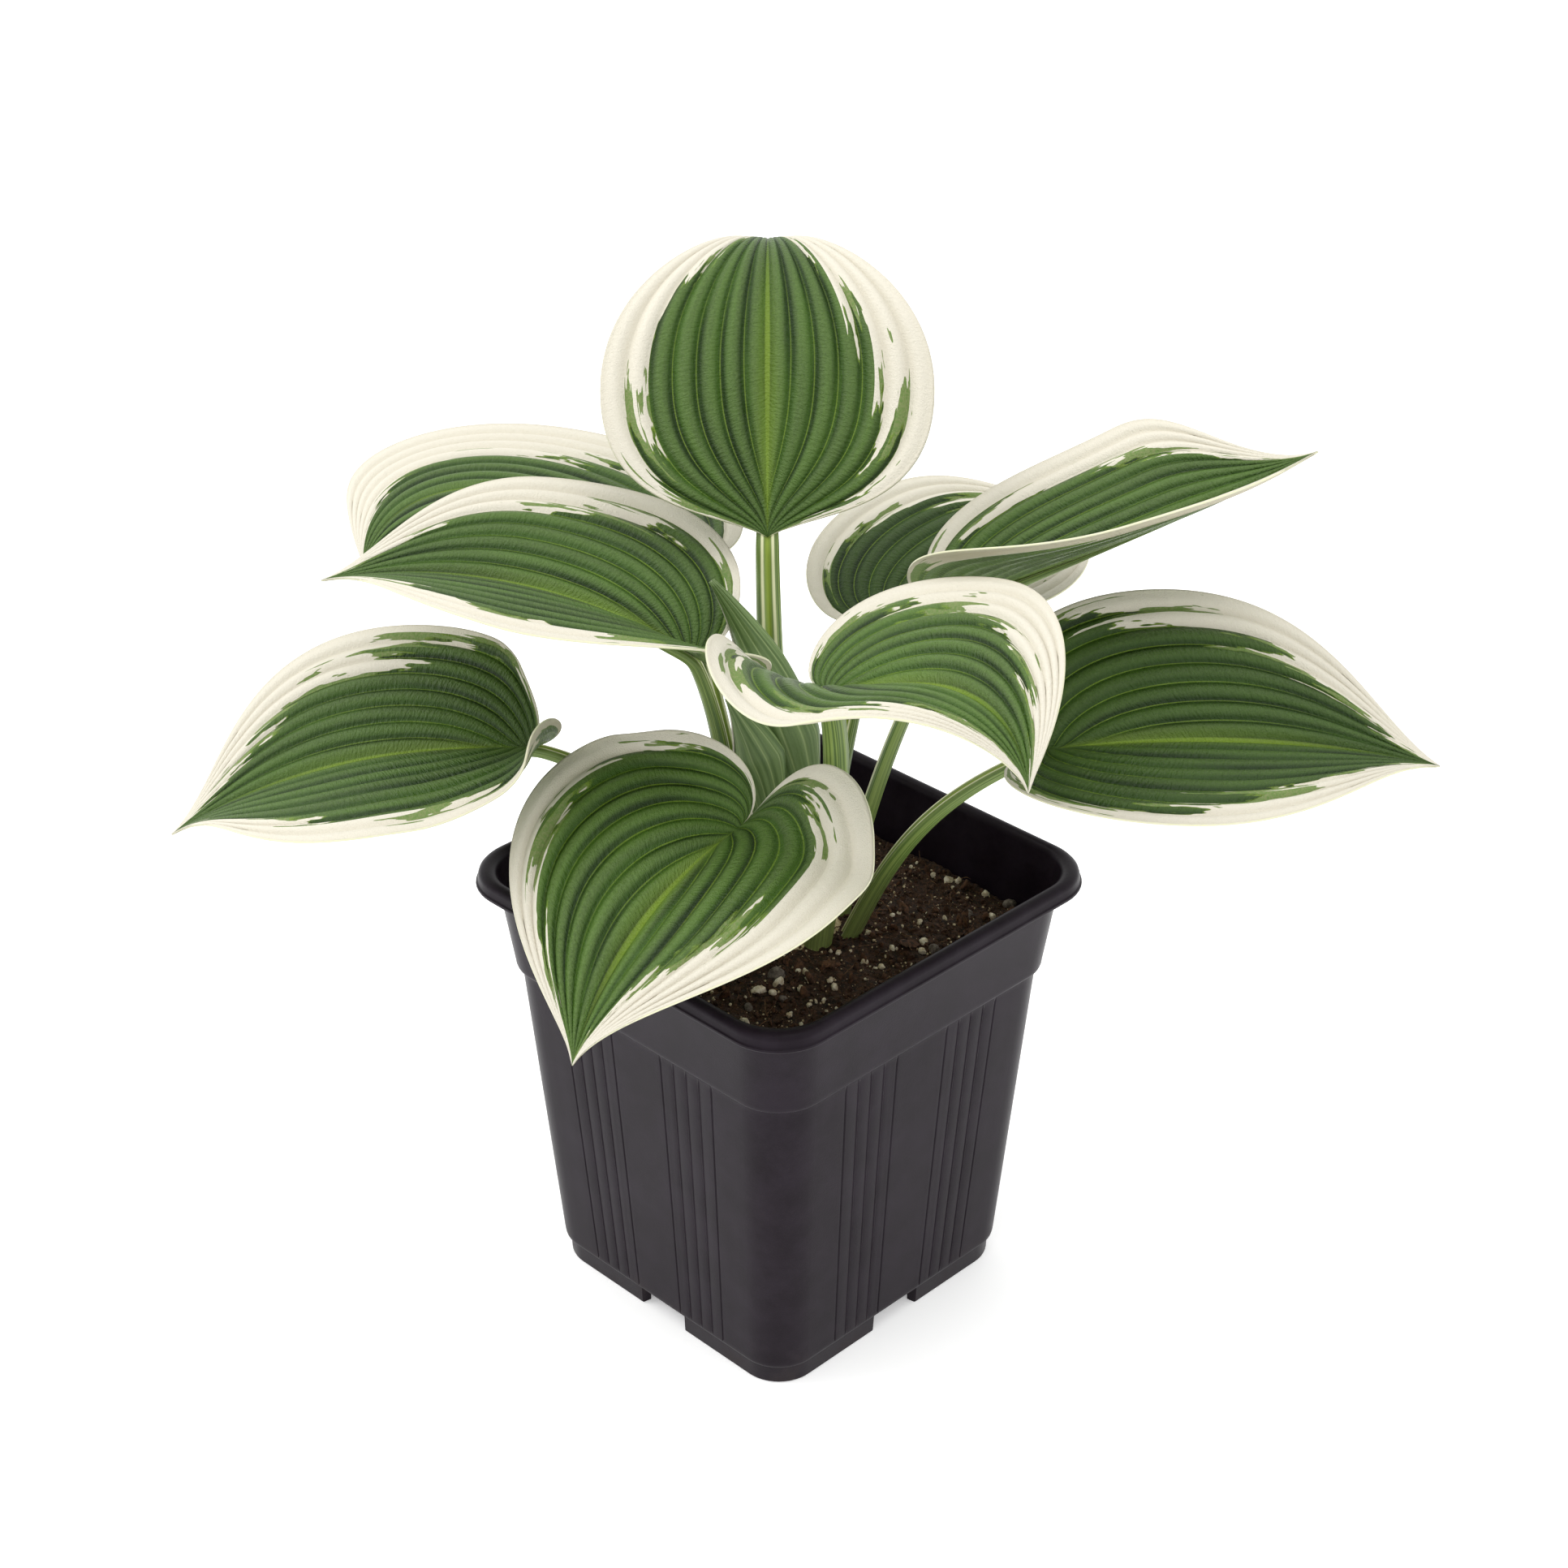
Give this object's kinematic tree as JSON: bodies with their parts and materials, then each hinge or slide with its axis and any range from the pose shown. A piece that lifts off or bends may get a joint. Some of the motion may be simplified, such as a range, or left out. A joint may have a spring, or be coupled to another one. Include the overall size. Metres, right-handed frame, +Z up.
{
  "type": "potted hosta plant",
  "caption": "Young hosta with cream-edged, deeply veined leaves on arching stems, growing in potting soil in a square ribbed nursery pot.",
  "frame": {"origin": "on the middle line of the pot, on the surface that it stands on, below the middle of the whole plant", "axes": "+Z up; the sides of the pot face along X and Y; the tall upright leaf leans towards -X and +Y, away from the viewed corner at +X and -Y"},
  "size_m": [0.4084, 0.358, 0.4017],
  "materials": {
    "pot": "satin",
    "soil": "matte",
    "crown": "matte",
    "blade": "satin",
    "stem": "satin",
    "young_leaf": "satin"
  },
  "bodies": {
    "root": {"nursery_pot": "pot", "near_foot": "pot", "right_foot": "pot", "back_foot": "pot", "left_foot": "pot", "potting_soil": "soil", "crown_and_roots": "crown", "front_leaf_blade": "blade", "top_leaf_blade": "blade", "right_leaf_blade": "blade", "left_leaf_blade": "blade", "centre_leaf_blade": "blade", "upleft_leaf_blade": "blade", "upright_leaf_blade": "blade", "backright_leaf_blade": "blade", "backleft_leaf_blade": "blade", "front_leaf_stem": "stem", "top_leaf_stem": "stem", "right_leaf_stem": "stem", "left_leaf_stem": "stem", "centre_leaf_stem": "stem", "upleft_leaf_stem": "stem", "upright_leaf_stem": "stem", "backright_leaf_stem": "stem", "backleft_leaf_stem": "stem", "tall_young_leaf": "young_leaf", "short_young_leaf": "young_leaf"}
  },
  "joints": []
}
